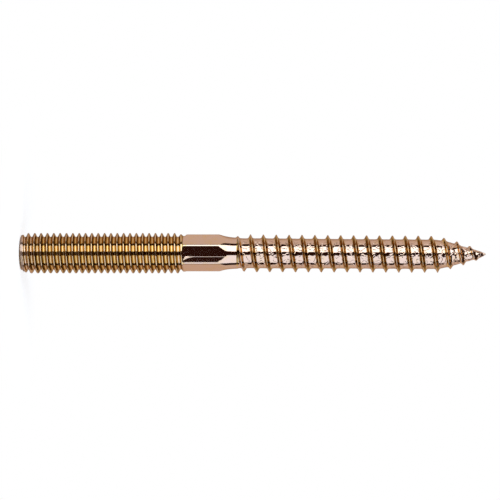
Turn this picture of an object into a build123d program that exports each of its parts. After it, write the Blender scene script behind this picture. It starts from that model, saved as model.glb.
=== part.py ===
from build123d import *
from math import atan2, ceil, cos, degrees, radians, tan
import os

# Hanger bolt: a stud with a metric machine thread at one end, a wood thread with a gimlet
# point at the other and a short hexagonal drive between them, cold formed and rolled from
# one steel rod. It stands on its machine end: z = 0 is that end's face, the origin is on
# the axis and one flat of the drive faces -Y. Sizes are in millimetres.

# Machine end, for an M8 thread. The fine thread isn't cut: the rod has its outer diameter
major_diameter = 7.95
machine_length = 31.7
end_chamfer_depth = 1.225
end_chamfer_length = 1.0

# Drive: flats pressed into the round blank, on which the machine thread is rolled. Each
# flat starts at a small step with a hollow corner, in the shoulder below the thread
thread_rise = 0.355
flat_depth = 0.42
drive_sides = 6
shoulder_length = 0.9
drive_length = 6.45
flat_entry_radius = 0.45

# Cone and neck between the drive and the wood thread
cone_length = 2.6
neck_depth = 0.56
neck_length = 1.2

# Wood thread: a right-handed ridge round a thinner core, which starts inside the cone
core_depth = 0.72
core_step_length = 0.8
ridge_height = 0.75
wood_pitch = 2.52
flank_angle = 60.0
shank_length = 38.0
wood_start = 41.43
runin_turns = 1.4

# Gimlet point: a long cone that still carries the ridge, then a short one to the tip
point_length = 8.1
tip_diameter = 1.45
tip_length = 1.3
tip_ridge_height = 0.29
fade_turns = 0.4

# How far the ridge reaches into the core, how far the presses stand out of the thread,
# and how far round one face of the ridge goes before the next one takes over
ridge_root = 0.3
press_clearance = 0.1
face_turns = 4

# Radii of the round forms
major_radius = major_diameter / 2
blank_radius = major_radius - thread_rise
apothem = blank_radius - flat_depth
neck_radius = blank_radius - neck_depth
core_radius = blank_radius - core_depth
wood_radius = core_radius + ridge_height
tip_radius = tip_diameter / 2

# Stations along the axis
drive_start = machine_length + shoulder_length
drive_end = drive_start + drive_length
neck_start = drive_end + cone_length
neck_end = neck_start + neck_length
core_start = neck_end + core_step_length
point_start = core_start + shank_length
tip_start = point_start + point_length
overall_length = tip_start + tip_length


def rail(stations):
    """One edge line of the ridge: helices end to end round +Z, from the +X side.

    Each station is (turns from the start, z, radius). Between two of them the radius
    changes evenly, so each helix lies on a cylinder or on a cone.
    """
    line = []
    for (turn, z, radius), (next_turn, next_z, next_radius) in zip(stations, stations[1:]):
        lead = (next_z - z) / (next_turn - turn)
        lean = atan2(next_radius - radius, next_z - z)
        helix = Helix(
            pitch=lead / cos(lean),
            height=next_z - z,
            radius=radius,
            center=(0, 0, z),
            cone_angle=degrees(lean),
        )
        line.append(helix.rotate(Axis.Z, 360 * turn))
    return line


def thread_ridge(stations):
    """A ridge of triangular section through stations of (turns, z, crest, root radius).

    The root is its buried base. The flanks keep flank_angle between them, so the ridge
    is narrower wherever it is lower.
    """
    fine = stations[:1]
    for near, far in zip(stations, stations[1:]):
        steps = ceil((far[0] - near[0]) / face_turns)
        for step in range(1, steps + 1):
            fine.append(tuple(a + (b - a) * step / steps for a, b in zip(near, far)))
    slope = tan(radians(flank_angle / 2))
    rails = [
        rail([(turn, z - (crest - root) * slope, root) for turn, z, crest, root in fine]),
        rail([(turn, z, crest) for turn, z, crest, root in fine]),
        rail([(turn, z + (crest - root) * slope, root) for turn, z, crest, root in fine]),
    ]
    skin = []
    for one, other in zip(rails, rails[1:] + rails[:1]):
        for near_edge, far_edge in zip(one, other):
            skin.append(Face.make_surface_from_curves(near_edge, far_edge))
    skin.append(Face(Wire.make_polygon([line[0] @ 0 for line in rails], close=True)))
    skin.append(Face(Wire.make_polygon([line[-1] @ 1 for line in rails], close=True)))
    return Solid(Shell(skin))


# The ridge grows out of the cone, follows the core and the point, and fades on the tip
runin_end = wood_start + runin_turns * wood_pitch
shank_turns = runin_turns + (point_start - runin_end) / wood_pitch
point_turns = shank_turns + point_length / wood_pitch
fade_end = tip_start + fade_turns * wood_pitch
fade_radius = tip_radius * (overall_length - fade_end) / tip_length
ridge = thread_ridge(
    [
        (0, wood_start, core_radius, core_radius - ridge_root),
        (runin_turns, runin_end, wood_radius, core_radius - ridge_root),
        (shank_turns, point_start, wood_radius, core_radius - ridge_root),
        (point_turns, tip_start, tip_radius + tip_ridge_height, tip_radius - ridge_root),
        (point_turns + fade_turns, fade_end, fade_radius, fade_radius / 3),
    ]
)

with BuildPart() as stud:
    # The round form of the whole rod, from the machine end up to the tip
    with BuildSketch(Plane.XZ):
        with BuildLine():
            Polyline(
                (0, 0),
                (major_radius - end_chamfer_depth, 0),
                (major_radius, end_chamfer_length),
                (major_radius, machine_length),
                (blank_radius, drive_start),
                (blank_radius, drive_end),
                (neck_radius, neck_start),
                (neck_radius, neck_end),
                (core_radius, core_start),
                (core_radius, point_start),
                (tip_radius, tip_start),
                (0, overall_length),
                close=True,
            )
        make_face()
    revolve(axis=Axis.Z)

    # The flats of the drive: each steps in from the shoulder and runs out in the cone,
    # where the cone gets thinner than the flats are apart
    press_top = major_radius + press_clearance
    flat_step = machine_length + shoulder_length / 2
    for side in range(drive_sides):
        facing = (side + 0.5) * 360 / drive_sides
        with BuildSketch(Plane.XZ.rotated((0, 0, facing))):
            with BuildLine():
                corner = JernArc(
                    start=(apothem, flat_step + flat_entry_radius),
                    tangent=(0, -1),
                    radius=flat_entry_radius,
                    arc_size=90,
                )
                Polyline(
                    corner @ 1,
                    (press_top, flat_step),
                    (press_top, neck_end),
                    (apothem, neck_end),
                    corner @ 0,
                )
            make_face()
        extrude(amount=major_diameter, both=True, mode=Mode.SUBTRACT)

    add(ridge)

stud.part.label = "stud"

os.makedirs("parts", exist_ok=True)
export_step(stud.part, "parts/stud.step")
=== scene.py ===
from math import cos, pi, radians, sin, tan

import bpy
import numpy as np
from mathutils import Matrix, Vector, noise


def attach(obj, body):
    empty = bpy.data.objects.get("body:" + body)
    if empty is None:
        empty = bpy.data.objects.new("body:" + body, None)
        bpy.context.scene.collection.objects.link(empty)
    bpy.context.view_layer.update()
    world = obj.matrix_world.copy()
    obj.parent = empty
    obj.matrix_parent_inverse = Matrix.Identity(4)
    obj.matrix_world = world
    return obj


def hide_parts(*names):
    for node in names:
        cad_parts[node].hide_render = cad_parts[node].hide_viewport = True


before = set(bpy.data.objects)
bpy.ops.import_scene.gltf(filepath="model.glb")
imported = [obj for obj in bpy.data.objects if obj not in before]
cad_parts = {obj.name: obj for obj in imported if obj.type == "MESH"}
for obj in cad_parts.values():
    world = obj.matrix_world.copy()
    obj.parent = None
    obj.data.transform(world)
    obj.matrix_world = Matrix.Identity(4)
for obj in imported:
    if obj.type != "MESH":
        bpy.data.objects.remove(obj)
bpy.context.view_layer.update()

# Camera: level with the wood thread and turned on its side, so that the standing stud lies
# across the picture with its machine end on the left. It stands a few degrees round from the
# drive's front flat and is aimed at the stud's middle.
mm = 0.001
picture_width = 97.77 * mm
camera_distance = 0.49
camera_height = 65.1 * mm
aim_height = 45.07 * mm
aim_side = 0.62 * mm
view_turn = radians(5)

camera_data = bpy.data.cameras.new("camera")
camera_data.sensor_width = 36.0
camera_data.lens = camera_data.sensor_width * camera_distance / picture_width
camera = bpy.data.objects.new("camera", camera_data)
bpy.context.scene.collection.objects.link(camera)
to_camera = Vector((-sin(view_turn), -cos(view_turn), 0))
picture_up = Vector((-cos(view_turn), sin(view_turn), 0))
beside_axis = aim_side * picture_up
camera_place = beside_axis + camera_distance * to_camera + Vector((0, 0, camera_height))
backwards = (camera_place - beside_axis - Vector((0, 0, aim_height))).normalized()
picture_right = picture_up.cross(backwards)
turn = Matrix((picture_right, picture_up, backwards)).transposed()
camera.matrix_world = Matrix.Translation(camera_place) @ turn.to_4x4()
bpy.context.scene.camera = camera

# Stud: one piece of steel, cold formed and rolled. Its skin is built in columns, lines of
# points from the machine end to the tip, one at each angle round the axis. They are closest
# on the drive's rounded edges and along its seam. The stud's own sizes are in millimetres.
front = 1.5 * pi
left = pi
drive_sides = 6
side_angle = 2 * pi / drive_sides
edge_columns = [radians(a) for a in (-3.8, -3.1, -2.4, 0, 2.4, 3.1, 3.8)]
columns_on_a_flat = 9
seam_columns = [radians(a) for a in (6.2, 7.2, 8.2, 9.3, 12.2, 14.0, 17.5, 19.3)]
angles = [front + a for a in seam_columns]
for side in range(drive_sides):
    edge = side * side_angle
    angles += [edge + a for a in edge_columns]
    flat = np.linspace(edge_columns[-1], side_angle + edge_columns[0], columns_on_a_flat + 2)
    angles += [edge + a for a in flat[1:-1]]
angles = sorted(a % (2 * pi) for a in angles)


def along(z, points):
    """The value at z of a line through points of (z, value)."""
    heights, values = zip(*points)
    return np.interp(z, heights, values)


def crest_height_at(angle, pitch, height, at_angle):
    """The height of a right-handed thread's crest on a column, from that on another."""
    return height + pitch * (angle - at_angle) / (2 * pi)


def thread_heights(section, low, high, crest, pitch):
    """The heights from low to high where a column meets the points of a thread's section."""
    offsets = [d for d, _ in section] + [-d for d, _ in section[1:-1]]
    turns = np.arange(np.floor((low - crest) / pitch) - 1, np.ceil((high - crest) / pitch) + 2)
    heights = np.add.outer(crest + pitch * turns, offsets).ravel()
    return heights[(heights > low) & (heights < high)]


# Machine end: a metric coarse M8 thread, rolled cold, with flat crests and round roots. The
# end is bevelled through the first turn, where the crests are low. At the other end the
# crests get low again and the last groove runs out in the shoulder of the drive.
machine_pitch = 1.25
machine_crest = 3.97
machine_root = 3.225
machine_crest_height = 0.30
machine_thread_start = 0.05
blank_radius = 3.62
blank_start = 32.65
# The thread's section: distance from the middle of the crest, share of the full height
machine_section = [
    (0, 1.0), (0.07, 0.995), (0.11, 0.955), (0.155, 0.86),
    (0.29, 0.52), (0.40, 0.20), (0.47, 0.04), (0.625, 0),
]
bevel = [
    (0, 2.7), (0.04, 3.05), (0.10, 3.38), (0.18, 3.54), (0.24, 3.59),
    (0.29, 3.60), (0.72, 3.61), (1.05, 3.80), (1.50, 3.97),
]
# The last turn: number of turns from the machine end, radius of the crest or of the groove
last_crest = [(24.5, 3.96), (25.0, 3.69), (25.5, 3.68), (25.8, blank_radius)]
last_groove = [(24.95, machine_root), (25.0, 3.33), (25.15, blank_radius)]
# How thick the plating's film is on the crests and along the grooves, which reach up to half
# the thread's height. The flanks' value is painted shade, which makes them brown, darkest on
# the first turns
crest_film = 0.2
flank_painted_shade = [(3.2, 1.0), (4.8, 0.87)]
groove_film = [(2.2, 0.05), (3.2, 0.25), (4.5, 0.34), (30.8, 0.34), (31.6, 0.1)]
groove_top = 0.5
# How much a share of the thread's height gets the flanks' painted shade. On the first turn the
# painted shade reaches lower down, so its heights count for more
shaded_flank_part = [(0, 0), (0.1, 0.2), (0.25, 0.75), (0.4, 1), (0.85, 1), (0.97, 0)]
shaded_flank_reach = [(2.2, 2.5), (3.2, 1.0)]


def machine_skin(z, angle):
    """The machine end's radius, film with painted shade and pits at heights z on the column at
    an angle.
    """
    crest_here = crest_height_at(angle, machine_pitch, machine_crest_height, left)
    turns = (z - crest_here) / machine_pitch
    height = along(np.abs(turns - np.round(turns)) * machine_pitch, machine_section)
    part_turn = (angle - left) / (2 * pi)
    crest = along(np.round(turns) + part_turn, last_crest)
    root = along(np.floor(turns) + part_turn, last_groove)
    threaded = root + (crest - root) * height
    bevelled = along(z, bevel)
    film_and_shade = np.where(height < groove_top, along(z, groove_film), crest_film)
    # Painted shade: on the flanks the film is raised to their dark brown value
    flank_shade_share = along(height * along(z, shaded_flank_reach), shaded_flank_part)
    film_and_shade += (along(z, flank_painted_shade) - film_and_shade) * flank_shade_share
    film_and_shade = np.where(threaded > bevelled, 0.0, film_and_shade)
    return np.minimum(threaded, bevelled), film_and_shade, np.zeros_like(z)


# Drive: six flats pressed into the round blank. Each starts at a small hollow step under the
# thread and runs out to a point in the cone. The front one has a seam, a fine raised line
# that spreads and swings aside where it starts.
apothem = 3.22
flat_step = 31.95
step_radius = 0.35
edge_softness = 0.02
edge_reach = 4 * edge_softness
clear_of_thread = machine_crest + 1
seam_middle = [(32.13, 1.00), (32.68, 0.60), (33.37, 0.49), (34.35, 0.40)]
seam_half_width = [(32.13, 0.08), (32.5, 0.20), (32.68, 0.18), (33.37, 0.09), (34.35, 0.045)]
# The seam's section: place across it in half widths, height in half widths
seam_section = [(-1, 0), (-0.7, 0.42), (1, 0)]
cone_start = 39.0
wood_start = 41.9
neck_line = [
    (cone_start, blank_radius), (39.2, 3.575), (39.5, 3.49), (39.9, 3.365), (40.3, 3.275),
    (40.58, 3.235), (40.9, 3.18), (41.2, 3.14), (41.6, 3.10), (wood_start, 3.07),
]
drive_film = 0.03
# Where a column has points here: from, up to, distance between them. They are close in the
# hollow steps, where the seam swings and on the cone
step_row = 0.09
drive_rows = [
    (flat_step, flat_step + step_radius + step_row, step_row),
    (32.4, 34.6, 0.2),
    (35, cone_start, 0.8),
    (cone_start, wood_start, 0.1),
]


def drive_skin(z, angle):
    """The drive's radius, film with the thread's painted shade and pits at heights z on the
    column at an angle.
    """
    threaded, thread_film_and_shade, _ = machine_skin(z, angle)
    if_round = np.where(z < blank_start, threaded, along(z, neck_line))
    below_corner = np.clip(flat_step + step_radius - z, 0, step_radius)
    flat = apothem + step_radius - np.sqrt(step_radius**2 - below_corner**2)
    flat = np.where(z < flat_step, clear_of_thread, flat)
    flat /= cos(angle % side_angle - side_angle / 2)
    half_width = along(z, seam_half_width)
    in_seam = (flat * sin(angle - front) - along(z, seam_middle)) / half_width
    if abs(angle - front) < side_angle / 2:
        flat += half_width * along(in_seam, seam_section)
    gap = if_round - flat
    radius = if_round - (gap + np.sqrt(gap**2 + edge_softness**2)) / 2
    radius = np.where(gap < -edge_reach, if_round, radius)
    film_and_shade = np.where((z < blank_start) & (gap < 0), thread_film_and_shade, drive_film)
    return radius, film_and_shade, np.zeros_like(z)


# Wood thread and gimlet point: a narrow ridge with wide roots, rolled out of the neck and on
# down a long cone to the tip. The roots have a wrinkled, pitted skin where the steel flowed
# together, roughest on the point.
wood_pitch = 2.52
wood_crest_height = 45.83
tip = 91.04
wood_thread_end = tip - 0.1
# Above this height the ridge is so low that the columns need the core's own points too
fine_tip_start = 89
wood_section = [
    (0, 1.0), (0.05, 0.975), (0.10, 0.89), (0.20, 0.62), (0.30, 0.36), (0.38, 0.19),
    (0.46, 0.095), (0.56, 0.04), (0.68, 0.01), (0.82, 0), (0.97, 0), (1.12, 0), (1.26, 0),
]
core_line = [
    (wood_start, 3.07), (42.5, 3.05), (43.1, 2.92), (48.1, 2.94), (63.7, 2.88),
    (80.3, 2.87), (81.5, 2.83), (82.4, 2.74), (83.6, 2.49), (84.7, 2.19), (86.1, 1.76),
    (87.5, 1.34), (88.9, 0.97), (89.8, 0.70), (90.6, 0.32), (90.85, 0.12), (tip, 0.03),
]
crest_line = [
    (41.4, 3.05), (42.0, 3.15), (42.7, 3.36), (43.9, 3.60), (45.2, 3.71), (47.7, 3.69),
    (63.7, 3.65), (78.0, 3.62), (81.8, 3.58), (83.0, 3.22), (84.3, 2.85), (85.4, 2.58),
    (86.8, 2.08), (88.1, 1.63), (89.3, 1.16), (90.0, 0.80), (90.5, 0.38),
]
# The lip where the thread starts: a small step down, darkened with painted shade. Both are
# deepest on the front and on the back, from which they fade with this power of the sine of the
# angle
lip_line = [
    (42.50, 0), (42.57, -0.01), (42.63, -0.06), (42.69, -0.11), (42.75, -0.125), (43.1, 0),
]
lip_painted_shade = [(42.50, 0), (42.55, 1.1), (42.78, 1.1), (42.9, 0)]
lip_fade = 3
# Wrinkles are shapes in the mesh. Pits are the places of the fine creases in the finish,
# from the core up to a share of the ridge's height
wrinkle_size = 0.55
wrinkle_depth = [(42.7, 0), (43.2, 0.018), (80, 0.018), (84, 0.06), (89, 0.08), (90.4, 0.03)]
pit_share = [(42.7, 0), (43.1, 0.9), (80, 0.8), (84, 1.6), (tip, 1.8)]
pit_top = 0.25
# The film by share of the ridge's height, with painted shade that makes the flanks and the
# ridge's foot dark brown, and how much of it there is along the stud
wood_film_and_shade = [(0, 0), (0.08, 0.1), (0.25, 0.87), (0.55, 0.83), (0.78, 0.47), (0.97, 0.24)]
film_and_shade_share = [(42.0, 0.1), (44.4, 0.3), (45.8, 1), (81.0, 1), (84.5, 0.4), (90.0, 0.2)]


def wood_skin(z, angle):
    """The wood thread's radius, film with painted shade and pits at heights z on the column at
    an angle.
    """
    crest_here = crest_height_at(angle, wood_pitch, wood_crest_height, front)
    turns = (z - crest_here) / wood_pitch
    height = along(np.abs(turns - np.round(turns)) * wood_pitch, wood_section)
    lip = abs(sin(angle)) ** lip_fade
    core = along(z, core_line) + lip * along(z, lip_line)
    crest = np.maximum(along(z, crest_line), core)
    places = [Vector((r * cos(angle), r * sin(angle), h)) for r, h in zip(core, z)]
    wrinkles = np.array([noise.noise(place / wrinkle_size) for place in places])
    radius = core + (crest - core) * height
    radius += wrinkles * along(z, wrinkle_depth) * (1 - height)
    pits = np.clip(1 - height / pit_top, 0, 1) * along(z, pit_share)
    film_and_shade = along(height, wood_film_and_shade) * along(z, film_and_shade_share)
    # The lip's dark colour is painted shade
    return radius, np.maximum(film_and_shade, lip * along(z, lip_painted_shade)), pits


# The whole body: the three skins meet in one mesh, just below the drive's steps and where
# the wood thread starts. The wood thread bends slightly off the drive's axis.
bend = [(31.2, 0), (32.7, -0.06), (39.2, -0.06), (42.2, 0), (tip, 0.285)]
drive_skin_start = flat_step - 0.1
least_step = 0.012
points, films_and_shade, pits = [], [], []
columns = []
for angle in angles:
    machine_crest_here = crest_height_at(angle, machine_pitch, machine_crest_height, left)
    wood_crest_here = crest_height_at(angle, wood_pitch, wood_crest_height, front)
    rows = [
        [h for h, _ in bevel + lip_line],
        [h for h, _ in core_line if h > fine_tip_start],
        thread_heights(
            machine_section, machine_thread_start, blank_start, machine_crest_here, machine_pitch
        ),
        thread_heights(wood_section, wood_start, wood_thread_end, wood_crest_here, wood_pitch),
    ]
    z = np.unique(np.concatenate(rows + [np.arange(*row) for row in drive_rows]))
    z = z[np.concatenate([[True], np.diff(z) > least_step])]
    zone = np.where(z < drive_skin_start, 0, np.where(z < wood_start, 1, 2))
    skins = [skin(z, angle) for skin in (machine_skin, drive_skin, wood_skin)]
    radius, film_and_shade, pitted = (np.choose(zone, values) for values in zip(*skins))
    columns.append((len(points), z))
    points += zip(radius * cos(angle) + along(z, bend), radius * sin(angle), z)
    films_and_shade += list(film_and_shade)
    pits += list(pitted)

# Neighbouring columns are joined by triangles that climb both of them at once
faces = []
for (near_start, near), (far_start, far) in zip(columns, columns[1:] + columns[:1]):
    i = j = 0
    while i + 1 < len(near) or j + 1 < len(far):
        a, b = near_start + i, far_start + j
        if j + 1 == len(far) or (i + 1 < len(near) and near[i + 1] <= far[j + 1]):
            faces.append((a, b, a + 1))
            i += 1
        else:
            faces.append((a, b, b + 1))
            j += 1

# The end face has a shallow hollow, as a rolled end has, and the tip closes in a point
end_rings = [(2.3, 0), (1.7, 0.02), (0.9, 0.1)]
hollow_depth = 0.13
end_film = 0.3
rings = [[start for start, _ in columns]]
for ring_radius, ring_height in end_rings:
    rings.append(list(range(len(points), len(points) + len(angles))))
    points += [(ring_radius * cos(a), ring_radius * sin(a), ring_height) for a in angles]
hollow_middle = len(points)
tip_point = hollow_middle + 1
points += [(0, 0, hollow_depth), (along(tip, bend), 0, tip)]
top_ring = [start + len(z) - 1 for start, z in columns]
for outer, inner in zip(rings, rings[1:]):
    for a, b, c, d in zip(outer, inner, inner[1:] + inner[:1], outer[1:] + outer[:1]):
        faces += [(a, b, c), (a, c, d)]
faces += [(a, hollow_middle, b) for a, b in zip(rings[-1], rings[-1][1:] + rings[-1][:1])]
faces += [(a, b, tip_point) for a, b in zip(top_ring, top_ring[1:] + top_ring[:1])]
films_and_shade += [end_film] * (len(points) - len(films_and_shade))
pits += [0] * (len(points) - len(pits))

mesh = bpy.data.meshes.new("stud_body")
mesh.from_pydata([tuple(v * mm for v in p) for p in points], [], faces)
mesh.shade_smooth()
for name, values in (("film_and_shade", films_and_shade), ("pits", pits)):
    mesh.attributes.new(name, "FLOAT", "POINT").data.foreach_set("value", values)
stud = bpy.data.objects.new("stud_body", mesh)
bpy.context.scene.collection.objects.link(stud)
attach(stud, "root")
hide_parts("stud")


def linear(hex_colour):
    """An sRGB hex colour as the linear one that Blender's sockets take."""
    channels = [int(hex_colour[i : i + 2], 16) / 255 for i in (0, 2, 4)]
    return [c / 12.92 if c <= 0.04045 else ((c + 0.055) / 1.055) ** 2.4 for c in channels] + [1]


def add_node(owner, kind, settings=None, links=None):
    """Adds a node with its settings, and links sockets of other nodes to its inputs."""
    node = owner.node_tree.nodes.new(kind)
    for name, value in (settings or {}).items():
        if isinstance(name, int) or name in node.inputs:
            node.inputs[name].default_value = value
        else:
            setattr(node, name, value)
    for name, socket in (links or {}).items():
        owner.node_tree.links.new(node.inputs[name], socket)
    return node


# Zinc plating, passivated with a yellow chromate film. The eye sees a bright, smooth metal
# under a clear film: rosy where the film is thin, on open faces, and golden in the grooves and
# on the crests. The brown on the threads' flanks and the dark lip are painted shade.
zinc = bpy.data.materials.new("yellow_passivated_zinc")
zinc.use_nodes = True
shader = zinc.node_tree.nodes["Principled BSDF"]
shader.inputs["Metallic"].default_value = 1.0
shader.inputs["Roughness"].default_value = 0.08
shader.inputs["Specular Tint"].default_value = linear("e6cdb9")
place = add_node(zinc, "ShaderNodeTexCoord").outputs["Object"]
film_and_shade_here = add_node(zinc, "ShaderNodeAttribute", {"attribute_name": "film_and_shade"})
pits_here = add_node(zinc, "ShaderNodeAttribute", {"attribute_name": "pits"})
# The film is a little thicker or thinner in clouds, as it dried
cloud_size = 1.3 * mm
cloud_change = 0.12
noise_low = 0.3
noise_high = 0.7
clouds = add_node(
    zinc, "ShaderNodeTexNoise",
    {"Scale": 1 / cloud_size, "Detail": 3.0, "Roughness": 0.6}, {"Vector": place},
)
film_change = add_node(
    zinc, "ShaderNodeMapRange",
    {
        "From Min": noise_low, "From Max": noise_high,
        "To Min": -cloud_change, "To Max": cloud_change,
    },
    {"Value": clouds.outputs["Fac"]},
)
film_and_shade_sum = add_node(
    zinc, "ShaderNodeMath", {"operation": "ADD", "use_clamp": True},
    {0: film_and_shade_here.outputs["Fac"], 1: film_change.outputs["Result"]},
)
# The colours from no film to the thickest one. The brown and the darkest one are painted shade
# on the flanks and in the lip
golden_film = 0.45
painted_shade_brown = 0.85
tint_and_shade = add_node(zinc, "ShaderNodeValToRGB", None, {"Fac": film_and_shade_sum.outputs["Value"]})
tint_and_shade.color_ramp.elements[0].color = linear("dfbaa2")
tint_and_shade.color_ramp.elements[1].color = linear("4a2c18")
tint_and_shade.color_ramp.elements.new(golden_film).color = linear("e2b769")
tint_and_shade.color_ramp.elements.new(painted_shade_brown).color = linear("967745")
zinc.node_tree.links.new(shader.inputs["Base Color"], tint_and_shade.outputs["Color"])

# The creases in the wood thread's roots follow the lines where a noise crosses its middle
# value. Real ones are finer than a pixel, so these are as wide as they need to be to show.
crease_size = 1.25 * mm
crease_depth = 0.038 * mm
noise_middle = 0.5
crease_half_width = 0.04
folds = add_node(
    zinc, "ShaderNodeTexNoise", {"Scale": 1 / crease_size, "Detail": 1.0}, {"Vector": place}
)
from_fold = add_node(
    zinc, "ShaderNodeMath", {"operation": "SUBTRACT", 1: noise_middle},
    {0: folds.outputs["Fac"]},
)
beside_fold = add_node(
    zinc, "ShaderNodeMath", {"operation": "ABSOLUTE"}, {0: from_fold.outputs["Value"]}
)
fold_walls = add_node(
    zinc, "ShaderNodeMapRange", {"From Min": 0.0, "From Max": crease_half_width},
    {"Value": beside_fold.outputs["Value"]},
)
bump = add_node(
    zinc, "ShaderNodeBump", {"Distance": crease_depth},
    {"Height": fold_walls.outputs["Result"], "Strength": pits_here.outputs["Fac"]},
)
zinc.node_tree.links.new(shader.inputs["Normal"], bump.outputs["Normal"])
mesh.materials.append(zinc)

# Floor: a small round stand of smooth white card, which the stud's foot mirrors softly. The
# camera sees it as white as the surround, apart from the stud's own shadow round the foot,
# which fades out between two distances from the axis.
floor_radius = 45 * mm
floor_corners = 96
shadow_fades_from = 6 * mm
shadow_fades_to = 30 * mm
shadow_lift = 0.7
card_white = linear("e6e6e6")
rim_angles = [2 * pi * i / floor_corners for i in range(floor_corners)]
rim = [(floor_radius * cos(a), floor_radius * sin(a), 0) for a in rim_angles]
floor_mesh = bpy.data.meshes.new("floor")
floor_mesh.from_pydata(rim, [], [tuple(range(floor_corners))])
floor = bpy.data.objects.new("floor", floor_mesh)
bpy.context.scene.collection.objects.link(floor)
card = bpy.data.materials.new("white_card")
card.use_nodes = True
card_shader = card.node_tree.nodes["Principled BSDF"]
card_shader.inputs["Base Color"].default_value = card_white
card_shader.inputs["Roughness"].default_value = 0.12
floor_place = add_node(card, "ShaderNodeTexCoord").outputs["Object"]
from_foot = add_node(
    card, "ShaderNodeVectorMath", {"operation": "LENGTH"}, {"Vector": floor_place}
)
away = add_node(
    card, "ShaderNodeMapRange",
    {
        "From Min": shadow_fades_from, "From Max": shadow_fades_to,
        "interpolation_type": "SMOOTHSTEP",
    },
    {"Value": from_foot.outputs["Value"]},
)
floor_ray = add_node(card, "ShaderNodeLightPath").outputs["Is Camera Ray"]
matt = add_node(card, "ShaderNodeBsdfDiffuse", {"Color": card_white})
lift = add_node(card, "ShaderNodeEmission", {"Strength": shadow_lift})
lifted = add_node(
    card, "ShaderNodeAddShader", None, {0: matt.outputs["BSDF"], 1: lift.outputs["Emission"]}
)
plain_white = add_node(card, "ShaderNodeEmission", {"Strength": 1.0})
white_away = add_node(
    card, "ShaderNodeMixShader", None,
    {0: away.outputs["Result"], 1: lifted.outputs["Shader"], 2: plain_white.outputs["Emission"]},
)
card_seen = add_node(
    card, "ShaderNodeMixShader", None,
    {0: floor_ray, 1: card_shader.outputs["BSDF"], 2: white_away.outputs["Shader"]},
)
card_output = card.node_tree.nodes["Material Output"]
card.node_tree.links.new(card_output.inputs["Surface"], card_seen.outputs["Shader"])
floor_mesh.materials.append(card)


# Light: two tall soft boxes stand to the left and right of the camera with a dark gap
# between them, a white surround stands behind the stud, and the room in front is dark.
def soft_box(name, start, end, colour, radiance):
    """A soft box that spans start to end degrees to the right of the camera's line."""
    middle, half = radians((start + end) / 2), radians((end - start) / 2)
    box_turn = middle - view_turn
    box_distance = 0.45
    box_height = 0.8
    middle_height = 0.1
    light = bpy.data.lights.new(name, "AREA")
    light.shape = "RECTANGLE"
    light.size = 2 * box_distance * tan(half)
    light.size_y = box_height
    light.energy = radiance * pi * light.size * light.size_y
    light.color = linear(colour)[:3]
    lamp = bpy.data.objects.new(name, light)
    bpy.context.scene.collection.objects.link(lamp)
    lamp.location = (box_distance * sin(box_turn), -box_distance * cos(box_turn), middle_height)
    lamp.rotation_euler = (pi / 2, 0, box_turn)
    lamp.visible_camera = False


soft_box("soft_box_left", -56.5, -13, "dceeff", 2.8)
soft_box("soft_box_right", 14.5, 76, "d1e5fd", 1.82)

studio = bpy.data.worlds.new("studio")
bpy.context.scene.world = studio
studio.use_nodes = True
background = studio.node_tree.nodes["Background"]
direction = add_node(studio, "ShaderNodeTexCoord").outputs["Generated"]
# The room at the stud's level, from straight in front (0) to straight behind (1): dark, then
# the white surround, which starts just in front of the sides
dark_end = 0.45
surround_start = 0.475
surround_dims_from = 0.8
surround_turn = radians(11) - view_turn
surround_middle = (-sin(surround_turn), cos(surround_turn), 0)
behind = add_node(
    studio, "ShaderNodeVectorMath", {"operation": "DOT_PRODUCT", 1: surround_middle},
    {0: direction},
)
behind_share = add_node(
    studio, "ShaderNodeMapRange", {"From Min": -1.0, "From Max": 1.0},
    {"Value": behind.outputs["Value"]},
)
level_room = add_node(
    studio, "ShaderNodeValToRGB", None, {"Fac": behind_share.outputs["Result"]}
)
level_room.color_ramp.elements[0].position = dark_end
level_room.color_ramp.elements[0].color = linear("291007")
level_room.color_ramp.elements[1].color = linear("bcb1aa")
level_room.color_ramp.elements.new(surround_start).color = linear("e0dad9")
level_room.color_ramp.elements.new(surround_dims_from).color = linear("e0dad9")
# Overhead and underneath the room is dark again, with a soft edge between two steepnesses
dark_from = 0.48
dark_at = 0.78
height_part = add_node(studio, "ShaderNodeSeparateXYZ", None, {"Vector": direction})
steep = add_node(
    studio, "ShaderNodeMath", {"operation": "ABSOLUTE"}, {0: height_part.outputs["Z"]}
)
ceiling = add_node(
    studio, "ShaderNodeMapRange",
    {"From Min": dark_from, "From Max": dark_at, "interpolation_type": "SMOOTHSTEP"},
    {"Value": steep.outputs["Value"]},
)
# The numbers of a Mix node's colour sockets. The camera itself sees plain white
first_colour = 6
second_colour = 7
mixed_colour = 2
room = add_node(
    studio, "ShaderNodeMix", {"data_type": "RGBA", second_colour: linear("301d12")},
    {"Factor": ceiling.outputs["Result"], first_colour: level_room.outputs["Color"]},
)
world_ray = add_node(studio, "ShaderNodeLightPath").outputs["Is Camera Ray"]
shown = add_node(
    studio, "ShaderNodeMix", {"data_type": "RGBA", second_colour: linear("ffffff")},
    {"Factor": world_ray, first_colour: room.outputs[mixed_colour]},
)
studio.node_tree.links.new(background.inputs["Color"], shown.outputs[mixed_colour])

bpy.context.scene.view_settings.view_transform = "Standard"
